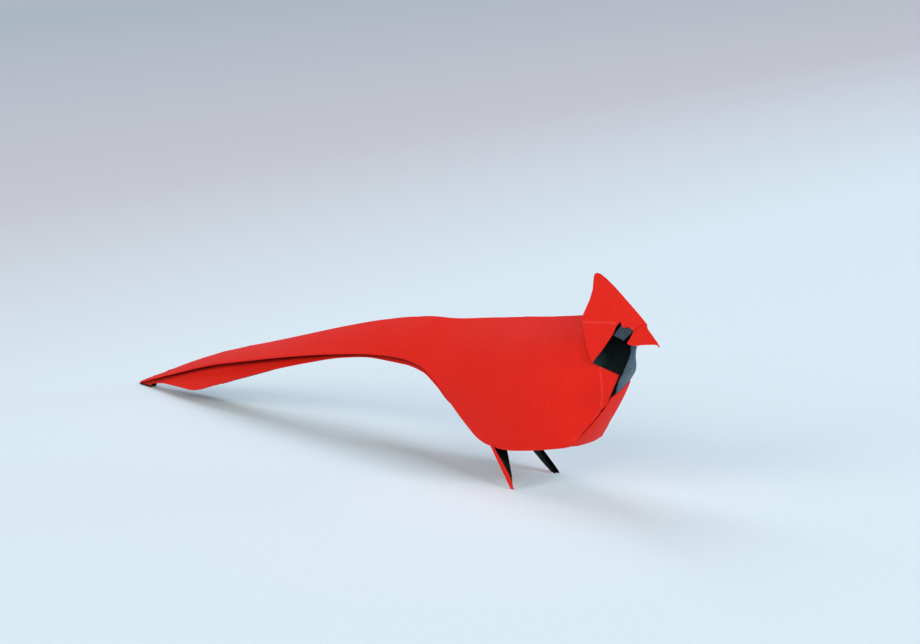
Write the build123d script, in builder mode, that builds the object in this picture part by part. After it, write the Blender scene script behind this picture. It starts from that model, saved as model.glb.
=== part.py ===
from build123d import *
import os

# Paper bird with a crest and a long tail, folded from one square sheet that is red on one side
# and black on the other. Millimetres, beak towards +X, the bird's own left towards +Y, up is +Z.
# The origin lies on the ground below the middle of its length.

# Sheet
sheet_thickness = 0.3

# Tail: from its tip to the dip of the back, with its tip this far behind the origin
rear_length = 90.0
tail_length = 116.0
saddle_height = 36.6
tail_hem_height = 25.65
tail_half_width = 7.4

# Body: from the dip of the back to the neck
body_length = 48.0
neck_rise = 8.7
body_half_width = 9.0
breast_height = 23.6

# Breast band and throat strip, closed over the open front of the body
breast_bulge_depth = 0.7
neck_bulge_depth = 0.15
bib_slope_rise = 4.6

# Head, measured from the top of the breast
head_length = 16.0
head_half_width = 6.4
head_rise = 30.8
head_overrun = 2.0

# Legs: rooted in the belly's hems, with their feet this far in front of the dip of the back
leg_root_overlap = 5.0
leg_root_width = 4.2
leg_root_depth = 1.4
leg_ply = 0.45
near_root_skew = 1.9
near_foot_skew = 0.5
near_foot_width = 0.75
near_foot_reach = 26.85
far_foot_width = 1.65
far_foot_reach = 26.2
foot_spread = 9.15
foot_depth = 1.05

# Stations of the tail. Columns: place along the tail, ridge height, hem half width, hem height,
# shoulder and flank half widths in hems, inner fold's width in panels, its gap in plies,
# lower edge half width, lower edge height, ply of the sheet.
tail_shares = [
    (0.000, 0.023, 0.074, 0.016, 0.36, 0.70, 0.40, 3.5, 0.061, 0.000, 0.25),
    (0.043, 0.083, 0.149, 0.086, 0.36, 0.70, 0.40, 3.5, 0.135, 0.003, 0.45),
    (0.049, 0.090, 0.157, 0.095, 0.36, 0.70, 0.40, 3.5, 0.149, 0.044, 0.47),
    (0.099, 0.156, 0.223, 0.175, 0.36, 0.70, 0.40, 3.5, 0.270, 0.097, 0.62),
    (0.164, 0.247, 0.311, 0.277, 0.36, 0.70, 0.40, 3.5, 0.446, 0.119, 0.80),
    (0.224, 0.322, 0.399, 0.370, 0.36, 0.70, 0.40, 4.0, 0.608, 0.140, 0.90),
    (0.293, 0.404, 0.500, 0.468, 0.36, 0.70, 0.40, 5.0, 0.595, 0.242, 1.00),
    (0.379, 0.490, 0.568, 0.565, 0.36, 0.70, 0.40, 6.0, 0.581, 0.382, 1.00),
    (0.491, 0.598, 0.635, 0.690, 0.36, 0.70, 0.40, 6.5, 0.608, 0.565, 1.00),
    (0.603, 0.710, 0.676, 0.803, 0.36, 0.70, 0.40, 6.5, 0.622, 0.725, 1.00),
    (0.716, 0.820, 0.730, 0.900, 0.36, 0.70, 0.40, 4.0, 0.649, 0.862, 1.00),
    (0.819, 0.908, 0.797, 0.973, 0.37, 0.71, 0.40, 4.0, 0.703, 0.934, 1.00),
    (0.905, 0.967, 0.878, 1.000, 0.39, 0.74, 0.40, 6.0, 0.811, 0.940, 1.00),
    (0.957, 0.992, 0.912, 0.969, 0.41, 0.77, 0.38, 6.0, 0.865, 0.908, 1.00),
    (1.000, 1.000, 1.000, 0.881, 0.45, 0.83, 0.36, 5.0, 0.926, 0.811, 1.00),
]

# Stations of the body. Columns: ridge place, ridge rise, hem place, hem half width, hem height,
# shoulder and flank half widths in hems, inner fold's width in panels, its gap in plies,
# lower edge half width, lower edge height.
body_shares = [
    (0.104, 0.080, 0.104, 0.872, 0.784, 0.55, 0.97, 0.32, 4.0, 0.778, 0.737),
    (0.229, 0.207, 0.229, 0.933, 0.581, 0.71, 1.05, 0.26, 4.0, 0.756, 0.606),
    (0.354, 0.322, 0.354, 0.983, 0.422, 0.79, 1.10, 0.21, 4.0, 0.756, 0.534),
    (0.500, 0.460, 0.500, 1.000, 0.390, 0.86, 1.14, 0.19, 4.0, 0.767, 0.500),
    (0.667, 0.609, 0.667, 0.944, 0.439, 0.91, 1.18, 0.19, 4.0, 0.722, 0.547),
    (0.792, 0.736, 0.792, 0.833, 0.492, 0.97, 1.19, 0.18, 4.0, 0.611, 0.593),
    (0.890, 0.839, 0.890, 0.644, 0.542, 1.16, 1.26, 0.16, 4.0, 0.433, 0.636),
    (0.948, 0.920, 0.977, 0.428, 0.767, 1.45, 1.40, 0.14, 4.0, 0.256, 0.826),
    (1.000, 1.000, 1.058, 0.311, 1.000, 1.43, 1.63, 0.12, 4.0, 0.156, 1.038),
]

# Depths of the shoulder and the flank below the ridge
shoulder_share = 0.30
flank_share = 0.65

# Places of the leg roots along the body
near_leg_share = 0.363
far_leg_share = 0.221

# Height of the sheet's cut at the ridge, in plies
ridge_plies_share = 1.8

# Step from one pressed ply to the next, in plies
ply_overlap_share = 0.9

# Throat strip: place along the head, half width, height, all on the head's own sizes
throat_shares = [
    (0.106, 0.280, -0.050),
    (0.244, 0.310, 0.065),
    (0.372, 0.310, 0.196),
    (0.456, 0.330, 0.266),
    (0.506, 0.230, 0.344),
    (0.540, 0.060, 0.500),
]

# Head panels: place, half width and height on the head's own sizes
crest_shares = (-0.090, 0.000, 0.998)
brow_shares = (0.766, 0.000, 0.677)
cheek_shares = (0.063, 0.984, 0.354)
head_shares = [
    (-0.160, 0.020, 0.999),
    (-0.196, 0.079, 0.991),
    (-0.190, 0.136, 0.954),
    (-0.160, 0.246, 0.878),
    (-0.183, 0.390, 0.800),
    (-0.227, 0.595, 0.695),
    (-0.195, 0.689, 0.627),
    (-0.037, 0.902, 0.441),
    (0.063, 0.984, 0.354),
    (0.225, 0.643, 0.497),
    (0.303, 0.398, 0.614),
    (0.358, 0.276, 0.665),
    (0.405, 0.300, 0.634),
    (0.487, 0.228, 0.645),
    (0.594, 0.204, 0.620),
    (0.702, 0.068, 0.661),
]
eye_shares = [
    (0.280, 0.446, 0.563),
    (0.479, 0.382, 0.527),
    (0.564, 0.189, 0.610),
    (0.530, 0.130, 0.660),
    (0.330, 0.190, 0.700),
]

# Mask and neck strip panels: the first three points set the plane
mask_shares = [
    (0.039, 0.898, 0.347),
    (0.419, 0.313, 0.252),
    (0.256, 0.400, 0.556),
    (0.437, 0.275, 0.266),
    (0.510, 0.020, 0.483),
    (0.505, 0.020, 0.580),
    (0.000, 0.900, 0.420),
]
mask_outline_order = (0, 1, 3, 4, 5, 2, 6)
strip_shares = [
    (0.125, 0.711, 0.325),
    (0.170, 0.430, -0.010),
    (0.359, 0.336, 0.245),
    (0.278, 0.390, 0.142),
    (0.350, 0.312, 0.315),
    (0.085, 0.703, 0.403),
]
strip_outline_order = (0, 1, 3, 2, 4, 5)
beak_ridge_shares = (0.620, 0.000, 0.710)
beak_tip_shares = (1.000, 0.000, 0.519)
beak_corner_shares = (0.500, 0.344, 0.515)
beak_shares = [
    (0.943, 0.022, 0.532),
    (0.656, 0.238, 0.516),
    (0.500, 0.344, 0.515),
    (0.575, 0.153, 0.640),
    (0.600, 0.080, 0.690),
]

tail_tip = -rear_length
saddle_place = tail_tip + tail_length
neck_place = saddle_place + body_length


def inner_point(before, point, after, ply):
    # Moves a point of the section inwards by one ply, square to the line of its neighbours
    run = (after - before).normalized()
    return point + Vector(-run.Y, run.X) * ply


def across(points):
    # The same points on the other side of the bird
    return [Vector(-point.X, point.Y) for point in points]


def side_run(depth, hem_side, shoulder, flank, ply):
    # The side panel in a section, from the ridge to the hem, as its outer and inner points.
    # Sideways is local X, downwards is local Y.
    top = Vector(0, 0)
    shoulder_at = Vector(hem_side * shoulder, depth * shoulder_share)
    flank_at = Vector(hem_side * flank, depth * flank_share)
    hem_at = Vector(hem_side, depth)
    shoulder_in = inner_point(top, shoulder_at, flank_at, ply)
    flank_in = inner_point(shoulder_at, flank_at, hem_at, ply)
    top_in = Vector(0, ply * ridge_plies_share)
    return [top, shoulder_at, flank_at, hem_at], [flank_in, shoulder_in, top_in]


def pleat_run(outer, fold_width, fold_gap, edge_side, edge_depth, ply):
    # The pleat in a section: round the hem, up inside to the fold and down to the lower edge
    hem_at = outer[-1]
    run = (hem_at - outer[-2]).normalized()
    inward = Vector(-run.Y, run.X)
    fold = hem_at - run * (hem_at.length * fold_width) + inward * (ply * fold_gap)
    return [
        hem_at,
        hem_at + inward * (ply * 2),
        fold + run * (ply * 2),
        Vector(edge_side + ply / 2, edge_depth),
        Vector(edge_side - ply / 2, edge_depth),
        fold + inward * ply,
        fold - inward * ply,
        hem_at - run * (ply * 2) + inward * ply,
    ]


def cut_plane(ridge, hem):
    # The plane of a section, through its ridge and its hem and square to the bird's middle plane
    down = (hem - ridge).normalized()
    return Plane(origin=ridge, x_dir=(0, 1, 0), z_dir=Vector(0, 1, 0).cross(down))


def head_point(shares):
    # A point of the head's near half, from its shares of the head's sizes
    place, side, rise = shares
    x = neck_place + place * head_length
    return Vector(x, -side * head_half_width, breast_height + rise * head_rise)


def panel_plane(first, second, third):
    # The plane of a flat panel, with its outer side facing away from the middle of the bird
    along = second - first
    normal = along.cross(third - first)
    if normal.Y > 0:
        normal = normal * -1
    return Plane(origin=first, x_dir=along, z_dir=normal)


def upward(plane):
    # The way up within a panel's plane, as long as the overrun past the ridge
    step = plane.y_dir * head_overrun
    return step if step.Z > 0 else step * -1


def laid_flat(plane, points):
    # Points in space, laid into a panel's plane
    flat = [plane.to_local_coords(point) for point in points]
    return [Vector(point.X, point.Y) for point in flat]


def leg_outline(side, place, spread, width, depth, skew):
    # A level cut through a leg: a wide face across the bird and a narrow flange along its outer edge
    crease = Vector(place, spread)
    flange = Vector(place + depth, spread)
    inner = Vector(place + skew, spread - width)
    corner = crease + Vector(leg_ply, -leg_ply)
    points = [flange, crease, inner, inner + Vector(leg_ply, 0), corner, flange - Vector(0, leg_ply)]
    return [Vector(point.X, point.Y * side) for point in points]


# All sections of the back, from the tail's tip to the neck: plane, outer side, inner side, pleat
sections = []
for row in tail_shares:
    place, rise, hem_side, hem_height, shoulder, flank, fold_width, fold_gap = row[:8]
    edge_side, edge_height, ply = row[8:]
    x = tail_tip + place * tail_length
    ridge = Vector(x, 0, rise * saddle_height)
    hem = Vector(x, 0, hem_height * tail_hem_height)
    thin = ply * sheet_thickness
    outer, inner = side_run((hem - ridge).length, hem_side * tail_half_width, shoulder, flank, thin)
    edge_depth = ridge.Z - edge_height * tail_hem_height
    pleat = pleat_run(outer, fold_width, fold_gap, edge_side * tail_half_width, edge_depth, thin)
    sections.append((cut_plane(ridge, hem), outer, inner, pleat))
hems = []
for row in body_shares:
    place, rise, hem_place, hem_side, hem_height, shoulder, flank, fold_width, fold_gap = row[:9]
    edge_side, edge_height = row[9:]
    ridge = Vector(saddle_place + place * body_length, 0, saddle_height + rise * neck_rise)
    hem = Vector(saddle_place + hem_place * body_length, 0, hem_height * breast_height)
    depth = (hem - ridge).length
    outer, inner = side_run(depth, hem_side * body_half_width, shoulder, flank, sheet_thickness)
    edge_depth = depth * (ridge.Z - edge_height * breast_height) / (ridge.Z - hem.Z)
    pleat = pleat_run(outer, fold_width, fold_gap, edge_side * body_half_width, edge_depth, sheet_thickness)
    sections.append((cut_plane(ridge, hem), outer, inner, pleat))
    hems.append(Vector(hem.X, hem_side * body_half_width, hem.Z))
breast_foot = hems[-3]
breast_top = hems[-1]
belly_height = min(hem.Z for hem in hems)

# Back, sides and tail with their pleats: one ruled skin through all sections
with BuildPart() as skin:
    for plane, outer, inner, pleat in sections:
        with BuildSketch(plane):
            with BuildLine():
                Spline(*outer)
                Polyline(*pleat)
                Spline(pleat[-1], *inner)
                Spline(inner[-1], *reversed(across([pleat[-1], *inner[:-1]])))
                Polyline(*reversed(across(pleat)))
                Spline(*reversed(across(outer)))
            make_face()
    loft(ruled=True)

# Breast band, wide at the belly and narrow at the neck, its top cut on the slant
band_top = head_point(throat_shares[2])
band_levels = [
    (breast_foot.X, breast_foot.Y - sheet_thickness, breast_foot.Z, breast_bulge_depth),
    (breast_top.X, breast_top.Y, breast_top.Z, neck_bulge_depth),
    (band_top.X, breast_top.Y, band_top.Z, neck_bulge_depth),
]
slant = Vector(0, breast_top.Y * 2, bib_slope_rise)
slant_origin = Vector(band_top.X, breast_top.Y, band_top.Z)
with BuildPart() as breast_band:
    for front, half_width, height, bulge in band_levels:
        back = front - sheet_thickness
        with BuildSketch(Plane.XY.offset(height)):
            with BuildLine():
                ThreePointArc((front, -half_width), (front + bulge, 0), (front, half_width))
                Line((front, half_width), (back, half_width))
                ThreePointArc((back, half_width), (back + bulge, 0), (back, -half_width))
                Line((back, -half_width), (front, -half_width))
            make_face()
    loft(ruled=True)
    split(bisect_by=Plane(slant_origin, x_dir=slant, z_dir=Vector(1, 0, 0).cross(slant)), keep=Keep.BOTTOM)

# Throat strip between the mask's two sides, tucked in behind the breast band
with BuildPart() as throat:
    for shares in throat_shares:
        at = head_point(shares)
        front = at.X - sheet_thickness
        with BuildSketch(Plane.XY.offset(at.Z)):
            with Locations((front - sheet_thickness / 2, 0)):
                Rectangle(sheet_thickness, -at.Y * 2)
    loft(ruled=True)

# Crest, head and cheek: one flat panel a side, joined along the ridge of the head
crest = head_point(crest_shares)
brow = head_point(brow_shares)
head_plane = panel_plane(crest, brow, head_point(cheek_shares))
head_outline = [brow + upward(head_plane), crest + upward(head_plane), crest]
head_outline += [head_point(shares) for shares in head_shares]
head_outline += [brow]
with BuildPart() as head:
    with BuildSketch(head_plane):
        with BuildLine():
            Polyline(*laid_flat(head_plane, head_outline), close=True)
        make_face()
    extrude(amount=-sheet_thickness)
    split(bisect_by=Plane.XZ, keep=Keep.TOP)
    mirror(about=Plane.XZ)

# Mask: a panel a side below the cheek
mask_points = [head_point(shares) for shares in mask_shares]
mask_plane = panel_plane(*mask_points[:3])
mask_outline = [mask_points[i] for i in mask_outline_order]
with BuildPart() as mask:
    with BuildSketch(mask_plane):
        with BuildLine():
            Polyline(*laid_flat(mask_plane, mask_outline), close=True)
        make_face()
    extrude(amount=-sheet_thickness)
    split(bisect_by=Plane.XZ, keep=Keep.TOP)
    mirror(about=Plane.XZ)

# Eye flaps: a small folded flap a side, between the brow and the mask
eye_plane = head_plane.offset(-sheet_thickness * ply_overlap_share)
eye_outline = [head_point(shares) for shares in eye_shares]
with BuildPart() as eye_flaps:
    with BuildSketch(eye_plane):
        with BuildLine():
            Polyline(*laid_flat(eye_plane, eye_outline), close=True)
        make_face()
    extrude(amount=-sheet_thickness)
    split(bisect_by=Plane.XZ, keep=Keep.TOP)
    mirror(about=Plane.XZ)

# Neck strips: the side panels' front margins, turned in towards the throat
strip_points = [head_point(shares) for shares in strip_shares]
strip_plane = panel_plane(*strip_points[:3])
strip_outline = [strip_points[i] for i in strip_outline_order]
with BuildPart() as neck_strips:
    with BuildSketch(strip_plane):
        with BuildLine():
            Polyline(*laid_flat(strip_plane, strip_outline), close=True)
        make_face()
    extrude(amount=-sheet_thickness)
    split(bisect_by=Plane.XZ, keep=Keep.TOP)
    mirror(about=Plane.XZ)

# Beak: a roof that comes out from under the brow
beak_root = head_point(beak_ridge_shares)
beak_tip = head_point(beak_tip_shares)
beak_plane = panel_plane(beak_root, beak_tip, head_point(beak_corner_shares))
beak_outline = [beak_root + upward(beak_plane), beak_tip + upward(beak_plane), beak_tip]
beak_outline += [head_point(shares) for shares in beak_shares]
with BuildPart() as beak:
    with BuildSketch(beak_plane):
        with BuildLine():
            Polyline(*laid_flat(beak_plane, beak_outline), close=True)
        make_face()
    extrude(amount=-sheet_thickness)
    split(bisect_by=Plane.XZ, keep=Keep.TOP)
    mirror(about=Plane.XZ)

# Legs: tapered, with a narrow flange along the outer edge
leg_root_height = belly_height + leg_root_overlap
near_foot = saddle_place + near_foot_reach
near_root = saddle_place + near_leg_share * body_length
with BuildPart() as near_leg:
    with BuildSketch():
        with BuildLine():
            sizes = (near_foot_width, foot_depth, near_foot_skew)
            Polyline(*leg_outline(-1, near_foot, foot_spread, *sizes), close=True)
        make_face()
    with BuildSketch(Plane.XY.offset(leg_root_height)):
        with BuildLine():
            sizes = (leg_root_width, leg_root_depth, near_root_skew)
            Polyline(*leg_outline(-1, near_root, body_half_width, *sizes), close=True)
        make_face()
    loft(ruled=True)
far_foot = saddle_place + far_foot_reach
far_root = saddle_place + far_leg_share * body_length
with BuildPart() as far_leg:
    with BuildSketch():
        with BuildLine():
            sizes = (far_foot_width, foot_depth, 0)
            Polyline(*leg_outline(1, far_foot, foot_spread, *sizes), close=True)
        make_face()
    with BuildSketch(Plane.XY.offset(leg_root_height)):
        with BuildLine():
            sizes = (leg_root_width, leg_root_depth, 0)
            Polyline(*leg_outline(1, far_root, body_half_width, *sizes), close=True)
        make_face()
    loft(ruled=True)

# The whole folded sheet is one piece
with BuildPart() as folded_sheet:
    add(skin.part)
    add(breast_band.part)
    add(throat.part)
    add(head.part)
    add(mask.part)
    add(eye_flaps.part)
    add(neck_strips.part)
    add(beak.part)
    add(near_leg.part)
    add(far_leg.part)

folded_sheet.part.label = "folded_sheet"
os.makedirs("parts", exist_ok=True)
export_step(folded_sheet.part, "parts/folded_sheet.step")
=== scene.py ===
import math

import bmesh
import bpy
import numpy as np
from bpy.props import FloatProperty, FloatVectorProperty, PointerProperty
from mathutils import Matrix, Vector, noise
from mathutils.geometry import delaunay_2d_cdt


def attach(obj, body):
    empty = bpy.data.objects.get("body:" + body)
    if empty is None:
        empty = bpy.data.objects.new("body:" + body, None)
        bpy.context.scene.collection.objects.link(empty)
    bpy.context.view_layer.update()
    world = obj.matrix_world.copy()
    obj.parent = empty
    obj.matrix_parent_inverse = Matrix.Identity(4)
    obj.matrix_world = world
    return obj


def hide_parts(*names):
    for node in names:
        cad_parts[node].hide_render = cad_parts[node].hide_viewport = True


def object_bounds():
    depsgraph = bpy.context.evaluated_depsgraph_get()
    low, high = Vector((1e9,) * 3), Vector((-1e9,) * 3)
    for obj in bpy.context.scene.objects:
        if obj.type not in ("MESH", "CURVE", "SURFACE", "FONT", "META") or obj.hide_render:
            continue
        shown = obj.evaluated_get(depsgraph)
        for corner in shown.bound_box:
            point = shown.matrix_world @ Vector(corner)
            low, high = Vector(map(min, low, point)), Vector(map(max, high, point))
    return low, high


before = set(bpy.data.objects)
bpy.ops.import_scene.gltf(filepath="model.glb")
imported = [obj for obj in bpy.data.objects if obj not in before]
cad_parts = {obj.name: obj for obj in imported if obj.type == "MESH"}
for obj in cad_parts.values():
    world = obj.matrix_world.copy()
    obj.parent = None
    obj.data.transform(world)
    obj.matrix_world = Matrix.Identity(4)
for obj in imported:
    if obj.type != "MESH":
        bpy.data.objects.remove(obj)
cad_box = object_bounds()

bl_info = {
    "name": "Folded Paper Bird",
    "version": (1, 0, 0),
    "blender": (4, 5, 0),
    "location": "View3D > Sidebar > Paper Bird",
    "description": "A crested bird folded from one sheet that is red on one side and black on the other",
    "category": "Object",
}

# All shape tables are in millimetres, beak towards +X, the bird's left towards +Y, up is +Z.
MM = 0.001

# Material slots of the sheet
RED_SIDE, BLACK_SIDE, CUT_EDGE, REFLECTION_PAINTED_BLACK, SHEEN_PAINTED_BLACK, MASK_PAINTED_LIGHT = range(6)

# Points across one side of a section: side panel, hem, inner panel, inner fold and lower panel
SIDE_POINTS = 27
HEM_POINTS = 7
INNER_POINTS = 7
FOLD_POINTS = 5
LOWER_POINTS = 14

# Sections from each station to the next, both stations counted
STATION_STEPS = 8

# Stations of the back from the tail's tip to the neck: ridge place and height, hem place, half
# width and height, shoulder and flank half widths in hems, inner fold's width in panels, lower
# edge's half width and height, share of the paper's thickness.
STATIONS = (
    (-90.0, 0.85, -90.0, 0.55, 0.40, 0.36, 0.70, 0.40, 0.45, 0.02, 0.25),
    (-87.4, 2.02, -87.4, 0.82, 1.30, 0.36, 0.70, 0.40, 0.72, 0.02, 0.36),
    (-85.0, 3.05, -85.0, 1.10, 2.20, 0.36, 0.70, 0.40, 1.00, 0.05, 0.45),
    (-84.4, 3.30, -84.4, 1.16, 2.43, 0.36, 0.70, 0.40, 1.10, 1.15, 0.47),
    (-81.8, 4.35, -81.8, 1.38, 3.35, 0.36, 0.70, 0.40, 1.45, 1.85, 0.54),
    (-78.5, 5.70, -78.5, 1.65, 4.50, 0.36, 0.70, 0.40, 2.00, 2.50, 0.62),
    (-71.0, 9.05, -71.0, 2.30, 7.10, 0.36, 0.70, 0.40, 3.30, 3.05, 0.80),
    (-64.0, 11.80, -64.0, 2.95, 9.50, 0.36, 0.70, 0.40, 4.50, 3.60, 0.90),
    (-56.0, 14.80, -56.0, 3.70, 12.00, 0.36, 0.70, 0.40, 4.40, 6.20, 1.00),
    (-46.0, 17.95, -46.0, 4.20, 14.50, 0.36, 0.70, 0.40, 4.30, 9.80, 1.00),
    (-33.0, 21.90, -33.0, 4.70, 17.70, 0.36, 0.70, 0.40, 4.50, 14.50, 1.00),
    (-20.0, 26.00, -20.0, 5.00, 20.60, 0.36, 0.70, 0.40, 4.60, 18.60, 1.00),
    (-7.0, 30.00, -7.0, 5.40, 23.10, 0.36, 0.70, 0.40, 4.80, 22.10, 1.00),
    (5.0, 33.25, 5.0, 5.90, 24.95, 0.37, 0.71, 0.40, 5.30, 23.90, 1.00),
    (15.0, 35.40, 15.0, 6.50, 25.65, 0.39, 0.74, 0.40, 5.40, 24.00, 1.00),
    (21.0, 36.30, 21.0, 6.75, 24.85, 0.41, 0.77, 0.38, 5.60, 23.10, 1.00),
    (26.0, 36.60, 26.0, 7.40, 22.60, 0.45, 0.83, 0.36, 6.10, 20.50, 1.00),
    (31.0, 37.30, 31.0, 7.85, 18.50, 0.55, 0.97, 0.32, 7.00, 17.40, 1.00),
    (37.0, 38.40, 37.0, 8.40, 13.70, 0.71, 1.05, 0.26, 6.80, 14.30, 1.00),
    (43.0, 39.40, 43.0, 8.85, 9.95, 0.79, 1.10, 0.21, 6.80, 12.60, 1.00),
    (46.5, 40.00, 46.5, 9.00, 9.35, 0.825, 1.12, 0.20, 6.85, 12.20, 1.00),
    (50.0, 40.60, 50.0, 9.00, 9.20, 0.86, 1.14, 0.19, 6.90, 11.80, 1.00),
    (58.0, 41.90, 58.0, 8.50, 10.35, 0.91, 1.18, 0.19, 6.50, 12.90, 1.00),
    (64.0, 43.00, 64.0, 7.50, 11.60, 0.97, 1.19, 0.18, 5.50, 14.00, 1.00),
    (68.7, 43.90, 68.7, 5.80, 12.80, 1.16, 1.26, 0.16, 3.90, 15.00, 1.00),
    (71.5, 44.60, 72.6, 3.98, 17.70, 1.42, 1.37, 0.14, 2.30, 19.50, 1.00),
    (74.0, 45.30, 75.3, 3.10, 22.00, 1.29, 1.47, 0.12, 1.60, 23.50, 1.00),
)

# Depths of the shoulder and the flank below the ridge, in panels
SHOULDER_DEPTH = 0.30
FLANK_DEPTH = 0.65

# Radius of the inner fold in hem radii, and how far below the hem the painted shade of the pleat ends
INNER_FOLD_SHARE = 0.6
PLEAT_SHADE_DEPTH = 1.6

# The tip of the tail shows its black side below a line that rises from its end
TIP_UNDERSIDE_END = -84.5
TIP_UNDERSIDE_HEIGHT = 0.30
TIP_UNDERSIDE_RISE = 0.058

# Faces above this height belong to the top of the back
TOP_HEIGHT = 30.0

# How far the inner fold stands off the hem's panel, from the tail's tip to the breast
INNER_FOLD_GAP = ((-90.0, 0.15), (-85.0, 0.35), (-78.0, 0.65), (-71.0, 0.95), (-64.0, 1.2), (-56.0, 1.6),
                  (-46.0, 1.9), (-20.0, 2.0), (-12.0, 1.6), (-6.0, 1.1), (5.0, 1.2), (10.0, 1.7), (14.0, 2.1),
                  (22.0, 2.1), (28.0, 1.5), (40.0, 1.1), (76.0, 1.0))

# Columns of the stations that are softened along the bird, with the number of passes, and each pass's share
SOFTENING = ((1, 8), (3, 3), (4, 2), (5, 8), (6, 8), (7, 8))
SOFTENING_SHARE = 0.25

# Front edge of the side panels, the crease of the neck: height and place, from the ridge down
NECK_CREASE = ((45.3, 74.0), (40.0, 75.2), (36.0, 76.0), (33.4, 76.3), (29.95, 76.44), (26.8, 76.5),
               (25.07, 76.0), (22.9, 75.35), (21.0, 75.25))

# The sections bend towards that crease between these places, and the neck is drawn in above a height
NECK_BEND_START = 69.0
NECK_BEND_END = 74.0
NECK_TUCK_START = 32.6
NECK_TUCK_RUN = 2.2
NECK_TUCK_SHARE = 0.14

# Free edge of the neck strip, from the breast up: share of the crease's run, place, half width, height
STRIP_FOOT = 22.0
STRIP_TOP = 34.3
STRIP_POINTS = 7
STRIP_EDGE = ((0.0, 76.9, 2.75, 23.9), (0.2, 77.5, 2.75, 25.6), (0.45, 78.7, 2.55, 28.6),
              (0.66, 79.75, 2.15, 31.15), (0.8, 79.9, 2.05, 32.5), (1.0, 79.6, 1.9, 33.5))

# Breast band from the belly to its slanted top: front place, half width, height, bulge
BREAST_ROWS = (
    (68.5, 5.60, 12.60, 0.70),
    (70.7, 4.83, 15.20, 0.60),
    (72.9, 3.85, 18.10, 0.45),
    (75.0, 3.20, 20.90, 0.30),
    (76.8, 2.80, 23.60, 0.15),
    (78.4, 2.60, 26.40, 0.15),
    (79.9, 2.50, 29.60, 0.15),
)
BREAST_LEVELS = 40
BREAST_COLUMNS = 31

# Heights of the slanted top's two ends, and how the band's lower corners rise and its near side is drawn in
BREAST_TOP_NEAR = 25.55
BREAST_TOP_FAR = 29.10
BREAST_FAR_RISE = 1.1
BREAST_NEAR_RISE = 0.2
BREAST_RISE_POWER = 5
BREAST_NEAR_SHARE = 0.97

# Throat strip, from its foot behind the breast band: front place, half width, height
THROAT_ROWS = (
    (76.6, 2.40, 23.50),
    (78.2, 2.40, 26.00),
    (80.0, 2.50, 29.65),
    (80.7, 2.45, 30.70),
    (81.4, 2.38, 31.80),
    (81.8, 2.15, 33.00),
    (82.1, 1.75, 34.20),
    (82.3, 1.30, 35.40),
    (82.6, 0.95, 37.00),
    (82.8, 1.15, 38.70),
    (82.9, 1.15, 40.00),
)
THROAT_LEVELS = 44
THROAT_COLUMNS = 13
THROAT_CURVE = 0.25

# The throat's near side narrows downwards from a height, by a share of its width for each millimetre
THROAT_TRIM_START = 31.0
THROAT_NEAR_TRIM = 0.12
THROAT_LEAST_SHARE = 0.3

# Head panel's rim in side view: the ridge from brow to crest, then down the nape and round the cheek
HEAD_RIDGE = ((86.32, 44.20), (84.3, 45.94), (81.1, 48.45), (76.9, 51.67), (74.4, 53.30), (72.55, 54.27),
              (71.9, 54.38))
HEAD_RIM = ((71.2, 54.36), (70.78, 54.12), (70.66, 53.55), (70.8, 52.9), (71.25, 50.6), (71.1, 48.2),
            (70.7, 46.4), (70.35, 44.9), (70.5, 43.8), (70.9, 42.6), (73.4, 37.2), (75.1, 34.5),
            (76.79, 37.37), (77.95, 39.81), (78.6, 41.27), (78.95, 42.82), (79.27, 43.59), (79.81, 44.3),
            (80.31, 43.52), (80.79, 43.09), (81.13, 42.95), (81.54, 43.26), (82.04, 43.26), (82.49, 43.08),
            (83.19, 42.59), (83.73, 42.73), (84.1, 43.33), (84.93, 44.0), (85.5, 44.1))
CHEEK_CREASE = ((70.6, 43.2), (72.56, 43.4), (75.0, 43.59), (76.95, 43.74), (78.84, 43.8))

# Half width of the head's roof for each millimetre below the line from crest to brow, swollen between them
HEAD_SPREAD = 0.435
HEAD_SWELL = 0.95
HEAD_SWELL_LEAN = 0.35

# Flat panels of the head's near side: points in space, of which the first three set the plane. The mask's
# order runs round its outline.
EYE_FLAP = ((78.62, -2.81, 41.00), (81.18, -2.47, 40.08), (83.02, -1.20, 42.43),
            (82.50, -0.85, 43.90), (80.14, -1.49, 43.70), (79.45, -2.09, 42.46))
MASK = ((74.62, -5.75, 34.29), (80.70, -2.00, 31.36), (78.10, -2.56, 40.72),
        (80.99, -1.76, 31.79), (82.16, -0.13, 38.48), (82.08, -0.13, 41.46), (74.0, -5.76, 36.54),
        (81.0, -0.13, 44.30), (78.6, -1.70, 44.60), (78.0, -2.20, 44.00), (77.35, -2.83, 42.55),
        (76.5, -3.74, 40.00))
MASK_ORDER = (0, 1, 3, 4, 5, 7, 8, 9, 10, 11, 6)

# The mask is lightened by a painted reflection around its lower corner, and a little along its lower edge
MASK_REFLECTION_REACH = 4.5
MASK_LOW_REFLECTION_SHARE = 0.2
MASK_LOW_END = 39.0
MASK_LOW_RUN = 6.0

# Beak in side view: its ridge from below the brow to the tip, then back along its lower edge
BEAK_RIDGE = ((83.92, 45.55), (86.15, 44.05), (86.45, 43.20), (89.15, 40.58), (89.98, 39.56))
BEAK_RIM = ((89.80, 39.48), (89.17, 39.84), (88.45, 39.85), (87.03, 39.66), (85.47, 39.44), (84.47, 39.17),
            (82.95, 39.09), (82.31, 39.20), (81.92, 39.45), (82.60, 40.97), (83.10, 42.40), (83.60, 44.20))
BEAK_SPREAD = 0.339

# Points this near the ridge of a roof lie on it, and all others keep at least this far from the middle plane
ON_RIDGE = 0.02
ROOF_LEAST_SIDE = 0.15

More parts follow.
